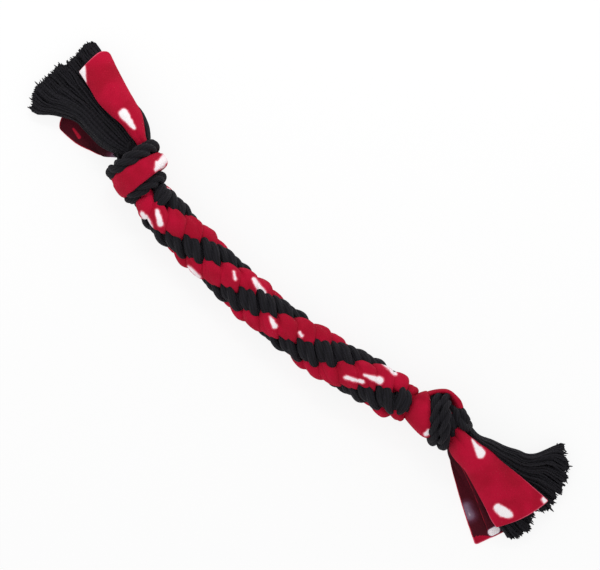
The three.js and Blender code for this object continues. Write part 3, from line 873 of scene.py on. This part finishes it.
def make_left_knot():
    """Two rope turns with a fleece band between them, round the passing bundle."""
    for order, (place, turn) in enumerate(LEFT_ROPE_TURNS.items()):
        grid = knot_turn(left_knot, turn, laid_rope(order))
        knot_piece("left", f"{place}_rope", "rope", [grid], f"{place}_rope_turn")
    band = knot_turn(left_knot, LEFT_BAND, folded_band(2.15, 0.12))
    knot_piece("left", "fleece_band", "fleece_face", [band], "fleece_turn")
    knot_piece("left", "inner_rope", "rope", bundle(left_knot, -13.5, 17, 1), "heart")
    knot_piece("left", "inner_fleece", "fleece_face", bundle(left_knot, -13.5, 9, 0))


def make_right_knot():
    """Two rope turns, two short passes at the mouth, and the fleece that wraps them."""
    for order, (place, turn) in enumerate(RIGHT_ROPE_TURNS.items()):
        grid = knot_turn(right_knot, turn, laid_rope(1.3 * order))
        knot_piece("right", f"{place}_rope", "rope", [grid], f"{place}_rope_turn")
    nose = (nose_grid(*rope_pass) for rope_pass in NOSE_PASSES)
    knot_piece("right", "nose_rope", "rope", nose, "nose_rope_turn")
    knot_piece("right", "fleece_wrap", "fleece_face", (cone_grid(), shoulder_grid()), "fleece_turn")
    knot_piece("right", "inner_rope", "rope", bundle(right_knot, -9, 10, 1, -5, 5.6), "heart")
    knot_piece("right", "inner_fleece", "fleece_face", bundle(right_knot, -9, 3, 0, -2, 5.6))


# Each neck: its knot and joint, the distance along the braid at which the strands stop winding,
# then their reach from the middle at distances from the joint along the braid, at the joint
# itself, and at offsets from the knot's centre along its axis. In millimetres.
NECKS = {
    "left": (
        left_knot, LEFT_NECK, 10, ((15, 8.2), (9, 8.0), (4, 6.6)), 5.8, ((-9, 5.0), (-4, 4.6)),
    ),
    "right": (
        right_knot, RIGHT_NECK, 8, ((12, 7.0), (7, 5.0), (3, 3.6)), 3.4, ((-15, 3.6), (-9, 4.0)),
    ),
}
NECK_STRAND = 4.4 * MM
NECK_BLEND, BLEND_AIM = 6 * MM, 0.98


def neck_path(side, angle, winding_end):
    """A strand's way from its last stitch through the neck into a knot, and its outer side."""
    knot, neck, _, on_braid, reach, on_knot = NECKS[side]
    level, up = braid_frame(winding_end)[1:]
    around = level * math.cos(angle) + up * math.sin(angle)
    inner = knot.out(np.array(math.pi - angle if side == "left" else angle))
    places = [
        braid_frame(from_neck(side, along))[0] + around * radius * MM for along, radius in on_braid
    ]
    places.append(neck + around * reach * MM)
    places += [
        knot.centre + offset * MM * knot.axis + inner * radius * MM for offset, radius in on_knot
    ]
    rows = [(k, *place) for k, place in enumerate(places)]
    path = smooth_table(np.linspace(0, len(places) - 1, 60), rows).T
    return path, np.broadcast_to(around, path.shape)


def from_neck(side, distance):
    """A place along the braid from its distance in millimetres to one of the two necks."""
    return np.array(distance * MM if side == "left" else BRAID_LENGTH - distance * MM)


def make_neck(side):
    """The four strands between the braid and a knot."""
    neck, winding_end = NECKS[side][1], from_neck(side, NECKS[side][2])
    rope, fleece = Skin(), Skin()
    for index in range(4):
        path, normals = neck_path(side, strand_angle(index, winding_end), winding_end)
        half = np.full(len(path), NECK_STRAND)
        if index % 2:
            grid, along = sweep_grid(path, normals, half, half, bunched_fleece(1.2, 0.15))
            fleece.add(grid, along, marks=braid_marks(grid))
        else:
            rope.add(*sweep_grid(path, normals, half, half, laid_rope(index, BRAID_LEAD)))
    direction = unit(braid_frame(BLEND_AIM * winding_end)[0] - neck) * NECK_BLEND
    for kind, skin, slot in (("rope", rope, "rope"), ("fleece", fleece, "fleece_face")):
        piece = skin.build(f"{side}_neck_{kind}", slot)
        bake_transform(piece)


make_left_knot()
make_right_knot()
make_neck("left")
make_neck("right")


# Fleece tails


TAIL_COLUMNS = np.concatenate(
    ([0, 0.004, 0.012, 0.024], np.linspace(0.045, 0.955, 52), [0.976, 0.988, 0.996, 1])
)
FOLD_RADIUS = 1.8 * MM
FOLD_STEP, FOLD_BLUR = 1.6 * MM, 0.25
ARC_POINTS = 400
WAVE_SIZE = 26 * MM
RIM_WIDTH = 1.0 * MM
TAIL_ROWS = 120


def arc_angle(width_share):
    """How far a bowed strip turns from edge to edge, from its width as a share of its length."""
    angles = np.linspace(0.02, 5.5, ARC_POINTS)
    shares = np.where(angles < math.pi, np.sin(angles / 2) / (angles / 2), 2 / angles)
    return np.interp(-width_share, -shares, angles)


def cross_curve(low, high, flap, arc):
    """A bowed strip from edge to edge, with a flap folded under at its low edge."""
    steps = np.linspace(-flap, arc, ARC_POINTS)
    turning = np.full(ARC_POINTS, arc_angle(min(1, (high - low) / arc)) / arc)
    folded = (steps < 0) & (steps > -math.pi * FOLD_RADIUS)
    turning = np.where(folded, 1 / FOLD_RADIUS, np.where(steps < 0, 0, turning))
    step = steps[1] - steps[0]
    angle = -np.cumsum(turning) * step
    middle = np.argmin(np.abs(steps - arc / 2))
    angle = angle - angle[middle]
    y = np.cumsum(np.cos(angle)) * step
    z = np.cumsum(np.sin(angle)) * step
    at = -flap + TAIL_COLUMNS * (arc + flap)
    shift = (low + high) / 2 - y[middle]
    return np.interp(at, steps, y + shift), np.interp(at, steps, z - z[middle])


def end_reach(cut, y):
    """How much farther or less far than its middle a strip's cut end reaches."""
    slope, bow, low_round, high_round = cut
    reach = slope * y + bow * y**2 / MM
    for edge, (width, drop) in ((y - y.min(), low_round), (y.max() - y, high_round)):
        inside = np.clip(1 - edge / (width * MM), 0, 1)
        reach = reach - drop * MM * (1 - np.sqrt(1 - inside**2))
    return reach


def both(upper, lower):
    """Joins an upper and a lower side to rows of closed rings."""
    return np.concatenate((upper, lower[:, ::-1]), axis=1)


def tail_relief(tail, share, along, across):
    """How much higher a tail lies for its soft crease and its pressed fold."""
    relief = np.zeros(along.shape)
    if "crease" in tail:
        place, wide, deep, reach = tail["crease"]
        fading = np.clip(1 - share / reach, 0, 1)
        relief -= deep * MM * np.exp(-(((across - place) / wide) ** 2)) * fading
    if "fold" in tail:
        line = smooth_table(along, tail["fold"])[0]
        step = FOLD_STEP / (1 + np.exp(-(across - line) / FOLD_BLUR))
        relief += step * np.clip(share * 4, 0, 1)
    return relief


def tail_surface(tail, root, direction, slant):
    """A tail's middle surface, and how far along and across it each point is, in millimetres."""
    share = np.linspace(tail["rows"][0][0], 1, TAIL_ROWS)
    low, high, top, flap, arc = smooth_table(share, tail["rows"]) * MM
    along, across, height = np.zeros((3, TAIL_ROWS, len(TAIL_COLUMNS)))
    for k, at in enumerate(share):
        y, z = cross_curve(low[k], high[k], max(flap[k], 0), arc[k])
        slope = slant * (1 - at) ** 2 * y + at**6 * end_reach(tail["cut"], y)
        along[k], across[k], height[k] = at * tail["length"] * MM + slope, y, top[k] + z
    height += tail_relief(tail, share[:, None], along / MM, across / MM)
    places = (along, across, height)
    axes = (direction, np.cross(UP, direction), UP)
    grid = root + sum(place[..., None] * axis for place, axis in zip(places, axes))
    grid[..., 2] += tail["wave"] * MM * ripple(grid * (1, 1, 0), WAVE_SIZE, tail["seed"])
    grid[..., 2] = np.maximum(grid[..., 2], FLEECE_THICKNESS / 2 + GROUND_GAP)
    return grid, along / MM, across / MM, share


def edge_distance(share, size):
    return np.minimum(share, 1 - share) * size


def edge_fullness(distance):
    """How thick a sheet is at a distance from an edge, which is rounded."""
    shoulder = np.clip(distance / (FLEECE_THICKNESS / 2), 0, 1)
    return np.sqrt(np.maximum(1 - (1 - shoulder) ** 2, 0.0004))


def tail_rim(tail, distance, upper, share, along, across):
    """How pale or red a tail is at its cut edges and along its folds, from 0 to 1."""
    rim = np.clip(1.3 - distance / RIM_WIDTH, 0, 1)
    if "fold" in tail:
        line = smooth_table(along, tail["fold"])[0]
        rim = np.maximum(rim, 0.75 * np.exp(-(((across - line) / 0.3) ** 2)) * (along > 8))
    if "red_fold" in tail:
        rim = np.maximum(rim, np.clip(1 - mark_distance(upper, tail["red_fold"]), 0, 1))
        rim = np.maximum(rim, 0.35 * np.clip(1.4 - share / 0.35, 0, 1)[:, None])
    return rim


def make_tail(side, level, tail, marks):
    """A tail of fleece. An upper one shows its printed face, a lower one its back with painted
    shade.
    """
    knot, sides = KNOTS[side], ["fleece_face", "fleece_back"]
    slot, other = sides if level == "upper" else sides[::-1]
    own_heading = math.radians(tail["heading"])
    direction, root = heading(own_heading), beside(knot, *tail["root"])
    slant = tail["slanted"] * slant_of(knot.angle, own_heading)
    grid, along, across, share = tail_surface(tail, root, direction, slant)
    normals = unit(np.cross(np.gradient(grid, axis=0), np.gradient(grid, axis=1)))
    flat_length = (1 - share[0]) * tail["length"] * MM
    from_side = edge_distance(TAIL_COLUMNS, FLEECE_WIDTH)[None, :]
    from_end = edge_distance((share - share[0]) / (1 - share[0]), flat_length)[:, None]
    half = (edge_fullness(from_side) * edge_fullness(from_end) * FLEECE_THICKNESS / 2)[..., None]
    upper, lower = grid + half * normals, grid - half * normals
    distance = both(mark_distance(upper, marks), strewn_marks(lower, tail["seed"]))
    rim = tail_rim(tail, np.minimum(from_side, from_end), upper, share, along, across)
    start, low, slope = tail.get("turned", (math.inf, 0, 0))
    turned = along > start + slope * np.maximum(across - low, 0)
    part = both(turned, np.ones(turned.shape))[:-1].astype(int)
    ring, skin = both(upper, lower), Skin()
    skin.add(ring, share * tail["length"] * MM, distance, part.ravel(), both(rim, rim))
    skin.close_ends(*ring.shape[:2])
    name, node = f"{side}_tail_{TAIL_NAMES[level]}", f"{side}_{level}_fleece_tail"
    piece = skin.build(name, slot, [node], lining=[MATERIALS[other]])
    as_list(tail["rests_on"])
    start = root + UP * smooth_table(np.zeros(1), tail["rows"])[2] * MM
    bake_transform(piece)
    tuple(start)


def strewn_marks(points, seed):
    """A few marks of the print on the face that doesn't show from above."""
    source = np.random.default_rng(seed)
    flat = points.reshape(-1, 3)
    centres = flat[source.choice(len(flat), 3)]
    directions = unit(source.normal(size=(3, 3)) * (1, 1, 0.1))
    return scattered_distance(points, centres, directions, 7 * MM, 3 * MM)


def beside(knot, offset, aside):
    """The place on the ground at an offset along a knot's axis and aside, in millimetres."""
    return (knot.centre + offset * MM * knot.axis + aside * MM * knot.side) * (1, 1, 0)


def slant_of(knot_heading, own_heading):
    return -math.tan(knot_heading - own_heading)


# Each tail, in millimetres and degrees: its heading, its root (offset along its knot's axis, and
# aside), its length, its cut end (slope, bow, and the width and drop of the two corners), and rows
# of: share of the length, low and high edge, height of the top, flap, and length round the cross
# section. Cloth at a negative share is tucked into the knot. A crease is its place, width, depth
# and reach, a fold its line as along and across, and cloth is turned over beyond a slanted line.
LEFT_UPPER = {
    "heading": 156.9, "root": (8.6, -4.7), "slanted": 1, "length": 64.8,
    "cut": (-0.27, 0, (7, 4.4), (1, 0.5)), "wave": 0.35, "seed": 21,
    "crease": (-6.5, 1.2, 1.6, 0.3),
    "rests_on": ["left_near_tassel", "left_far_tassel"],
    "rows": [
        (0, -7.2, -4.8, 24.5, 5.5, 11), (0.08, -8.7, -4.4, 27.6, 6.5, 13),
        (0.19, -11.3, -3, 29, 7.5, 15), (0.31, -13.7, -1.6, 28.8, 10, 17),
        (0.45, -13.6, 2, 27.4, 13, 20.5), (0.6, -13.2, 5, 25.2, 13.5, 22),
        (0.8, -13.2, 5.9, 21.8, 13.5, 22.4), (1, -13.5, 7, 18.8, 13.5, 23),
    ],
}
LEFT_LOWER = {
    "heading": 193.3, "root": (13.6, 0), "slanted": 1, "length": 47.4,
    "cut": (0, 0, (1, 0.5), (7, 3.4)), "wave": 0.15, "seed": 22, "red_fold": LEFT_RED_FOLD,
    "rests_on": ["left_knot_heart"],
    "rows": [
        (-0.16, -3.6, 2.6, 12.5, 0, 15), (0, -5.5, 3.4, 10, 0, 16), (0.1, -8, 5.4, 7.6, 0, 18),
        (0.2, -11, 7.8, 5.6, 0, 21.5), (0.45, -17, 8.6, 2.6, 0, 27.5),
        (0.66, -21, 8.4, 1.5, 0, 30.5), (0.82, -24, 6.9, 1.5, 0, 31.8), (1, -26, 4.8, 1.5, 0, 32),
    ],
}
RIGHT_UPPER = {
    "heading": -13.2, "root": (4.1, -6.6), "slanted": 1, "length": 71,
    "cut": (0.24, -0.006, (1, 0.4), (1, 0.6)), "wave": 0.5, "seed": 23,
    "crease": (0.2, 1.3, 4.5, 0.2),
    "rests_on": ["right_near_tassel"],
    "rows": [
        (0, -7.2, 2.4, 23, 0, 16), (0.05, -8.2, 3.8, 25.6, 0, 18), (0.1, -8.4, 4.8, 28.6, 0, 20),
        (0.2, -8, 5.6, 30, 0, 21.5), (0.3, -7.9, 7.6, 28.6, 0, 23), (0.4, -9, 10.2, 27, 0, 25),
        (0.57, -11, 12.7, 24.6, 0, 27.6), (0.73, -12.9, 16, 21, 0, 31),
        (0.885, -14.9, 18.6, 18.2, 0, 34.6), (1, -15, 20.3, 16.4, 0, 36.4),
    ],
}
RIGHT_LOWER = {
    "heading": -31.7, "root": (5.6, -13.6), "slanted": 0, "length": 67.1,
    "cut": (-0.1, 0, (2.5, 1.6), (1, 0.5)), "wave": 0.15, "seed": 24, "turned": (62.4, -4.5, 0.42),
    "fold": [(0, -1.6), (10.2, 0.0), (24.3, 1.7), (39.2, 2.8), (52.8, 2.8), (70, 3.0)],
    "rests_on": ["right_knot_heart"],
    "rows": [
        (-0.12, -2, 3, 10.5, 0, 14), (0, -2.4, 3.5, 7.5, 0, 15), (0.1, -3.6, 6, 6.4, 0, 18),
        (0.2, -5.2, 9, 4.6, 0, 20.5), (0.4, -6.6, 15, 2.2, 0, 24), (0.65, -7.7, 20.4, 1.5, 0, 29),
        (1, -8.3, 23.4, 1.5, 0, 33),
    ],
}
TAIL_NAMES = {"upper": "front", "lower": "back"}

make_tail("left", "upper", LEFT_UPPER, LEFT_TAIL_MARKS)
make_tail("left", "lower", LEFT_LOWER, LEFT_LOWER_MARKS)
make_tail("right", "upper", RIGHT_UPPER, RIGHT_TAIL_MARKS)
make_tail("right", "lower", RIGHT_LOWER, RIGHT_LOWER_MARKS)


# Tassels

YARNS = 170
YARN_RADIUS = 0.62 * MM
YARN_STEPS = np.linspace(0, 1, 26)
TUFT_RADIUS = np.array((0.4, 0.46, 0.5, 0.48, 0.4, 0.12)) * MM
TUFT_LENGTHS = (1.6 * MM, 3.4 * MM)
TUFT_PLIES = 4
FAN_OVERLAP = 2.6
LOCKS = np.linspace(-0.9, 0.9, 7)
GATHER = 0.1
TIP_SHARE = 0.93
INNER_STEPS = np.linspace(0, 0.88, 30)
INNER_COLUMNS = np.linspace(-0.93, 0.93, 60)
INNER_TOP, INNER_GROOVE, INNER_BOTTOM = 0.78, 0.05, 0.2
LOCK_VARIATION, YARN_VARIATION, TUFT_SHARE = 0.014, 0.012, 0.025

# A yarn's waves: their size at its end and their speed, twice aside and once up
YARN_WAVES = ((0.7 * MM, 9), (0.3 * MM, 31), (0.8 * MM, 11))


def yarn_grid(path, radius, sides=6):
    tangents = unit(np.gradient(path, axis=0))
    sideways = unit(np.cross(tangents, UP))
    upward = np.cross(sideways, tangents)
    around = np.arange(sides) * math.tau / sides
    ring = np.cos(around)[:, None] * sideways[:, None] + np.sin(around)[:, None] * upward[:, None]
    return path[:, None] + ring * radius[:, None, None]


def fan_edges(fan, near, steps):
    """The two edges, the underside and the top of one tassel along a fan."""
    low, split, high, near_bottom, far_bottom, top = smooth_table(steps, fan["rows"])
    if (near == "near") == fan["near_is_high"]:
        low = split - FAN_OVERLAP
    else:
        high = split + FAN_OVERLAP
    return low, high, near_bottom if near == "near" else far_bottom, top


def tassel_path(fan, near, column, layer, steps, lock, source):
    """One yarn's way through the fan, with its own small waves, and drawn to its lock."""
    low, high, bottom, top = fan_edges(fan, near, steps)
    drawn = column + (lock - column) * GATHER * np.sin(math.pi * np.clip(steps, 0, 1)) ** 2
    spread = mix(low, high, (drawn + 1) / 2) * MM
    rounding = 0.5 * np.abs(drawn) ** 4
    height = mix(bottom, top, mix(0.25 * rounding, 1 - rounding, layer)) * MM
    phases = source.uniform(0, math.tau, 3)
    first, second, lift = (
        size * steps * np.sin(speed * steps + phase)
        for (size, speed), phase in zip(YARN_WAVES, phases)
    )
    direction, knot = heading(fan["heading"]), fan["knot"]
    slant = slant_of(knot.angle, fan["heading"]) * spread * np.maximum(1 - steps / 0.3, 0)
    reach = steps * fan["reach"] + slant
    aside = (spread + first + second)[:, None] * np.cross(UP, direction)
    path = beside(knot, *fan["root"]) + reach[:, None] * direction + aside
    path[:, 2] = np.maximum(height + lift, YARN_RADIUS)
    return path


def add_tuft(skin, path, source):
    """The frayed tip of a yarn: a few finer plies that part from each other."""
    direction = unit(path[-1] - path[-3])
    share = np.linspace(0, 1, len(TUFT_RADIUS))[:, None]
    for _ in range(TUFT_PLIES):
        away = source.normal(size=3) * (1, 1, 0.7)
        length = source.uniform(*TUFT_LENGTHS)
        fibre = path[-2] + direction * share * length + away * share**1.3 * 0.3 * length
        fibre[:, 2] = np.maximum(fibre[:, 2], 0.3 * MM)
        skin.add(yarn_grid(fibre, TUFT_RADIUS, 4), share[:, 0] * length)


def add_inner_yarns(skin, fan, near):
    """The yarns inside the fan, as one grooved body."""
    steps = INNER_STEPS * fan["shortest"]
    source = np.random.default_rng(1)
    upper, lower = [], []
    for number, column in enumerate(INNER_COLUMNS):
        layer = INNER_TOP + INNER_GROOVE * (-1) ** number
        upper.append(tassel_path(fan, near, column, layer, steps, column, source))
        lower.append(tassel_path(fan, near, column, INNER_BOTTOM, steps, column, source))
    ring = both(np.stack(upper, 1), np.stack(lower, 1))
    ring[-1] = (ring[-1] + ring[-1].mean(0)) / 2
    skin.add(ring, steps * fan["reach"])


def make_tassel(side, near, seed):
    """The near or the far tassel of a fan: single yarns with frayed tips round an inner body."""
    source = np.random.default_rng(seed)
    fan, skin = FANS[side], Skin()
    low, high = (edge[0] for edge in fan_edges(fan, near, np.array([TIP_SHARE]))[:2])
    asides, ends = np.array(fan["tips"]).T
    lock_length = source.normal(0, LOCK_VARIATION, len(LOCKS))
    for number in range(YARNS):
        column = 2 * (number + source.uniform(0, 1)) / YARNS - 1
        layer = source.uniform(0, 1) ** 0.7
        lock = np.argmin(np.abs(LOCKS - column))
        end = np.interp(mix(low, high, (column + 1) / 2), asides, ends) / fan["reach"] * MM
        end = end - TUFT_SHARE + lock_length[lock] + source.normal(0, YARN_VARIATION)
        steps = YARN_STEPS * end
        path = tassel_path(fan, near, column, layer, steps, LOCKS[lock], source)
        skin.add(yarn_grid(path, np.full(len(path), YARN_RADIUS)), steps * fan["reach"])
        add_tuft(skin, path, source)
    add_inner_yarns(skin, fan, near)
    skin.build(f"{side}_{near}_yarns", "rope_yarn", [f"{side}_{near}_tassel"], f"{side}_end")


# Each fan of yarns has its root (offset and aside of its knot), and rows of: share of the reach,
# low edge, split between the two tassels, high edge, the near and the far tassel's underside, and
# the top. Its tips are a distance aside and the reach there. In millimetres.
FANS = {
    "left": {
        "knot": left_knot, "heading": LEFT_FAN_HEADING, "root": (13.2, 0),
        "reach": 70 * MM, "near_is_high": True, "shortest": 0.9,
        "rows": [
            (0, -16.5, -3, 3.4, 12.7, 11.9, 23.8), (0.07, -20.2, -2.6, 6, 10.6, 9.4, 24.4),
            (0.17, -23.2, -2.4, 8.8, 8, 6, 24.4), (0.37, -23.5, -2.4, 10.2, 4, 1, 22),
            (0.53, -25.4, -2.6, 11.4, 3.7, 0.3, 18.6), (0.64, -27, -2.8, 15.6, 3.6, 0, 16),
            (0.73, -28, -3, 20.4, 3.2, 0, 13.8), (0.8, -29, -3.2, 25, 2.6, 0, 12.2),
            (0.9, -29.6, -3.4, 26.6, 1.8, 0, 9.8), (1.05, -30.6, -3.6, 27.6, 1, 0, 7.5),
        ],
        "tips": [
            (-32, 65.5), (-27, 68), (-22, 68.6), (-16.7, 67.4), (-11, 69), (-6.4, 69.2),
            (-1.5, 69.5), (5.4, 69.6), (13.6, 70.6), (20.3, 66), (26, 61),
        ],
    },
    "right": {
        "knot": right_knot, "heading": RIGHT_FAN_HEADING, "root": (15, -6.2),
        "reach": 72 * MM, "near_is_high": False, "shortest": 0.82,
        "rows": [
            (0, -6, 0, 1.6, 12.7, 12.7, 22), (0.14, -9, -2.6, 0.7, 8.5, 6.8, 23),
            (0.25, -11.2, -3.6, 3, 4.6, 2.4, 22.4), (0.36, -14.6, -4.4, 4.4, 4.2, 0.9, 20.8),
            (0.49, -21.5, -4.9, 7.8, 4, 0.1, 18.2), (0.565, -26, -5.2, 8.8, 3.9, 0, 16.8),
            (0.62, -29.8, -5.5, 12, 3.8, 0, 15.6), (0.68, -33.6, -5.8, 18.6, 3.6, 0, 14.2),
            (0.74, -37.4, -6.1, 25.4, 3.4, 0, 13), (0.82, -39.2, -6.4, 28, 2.4, 0, 10.4),
            (1.02, -40, -7, 30, 1, 0, 7.5),
        ],
        "tips": [
            (-40, 62), (-37, 67), (-30.4, 69.7), (-22.5, 67.7), (-17.5, 67), (-12.7, 70.6),
            (-5.7, 72.6), (0, 72.4), (5.5, 68.8), (10.2, 71), (15, 66.5), (19.7, 66), (23.6, 60),
            (29, 56.5),
        ],
    },
}

for fan_side, tassel, tassel_seed in (
    ("left", "near", 31), ("left", "far", 32), ("right", "near", 33), ("right", "far", 34)
):
    make_tassel(fan_side, tassel, tassel_seed)
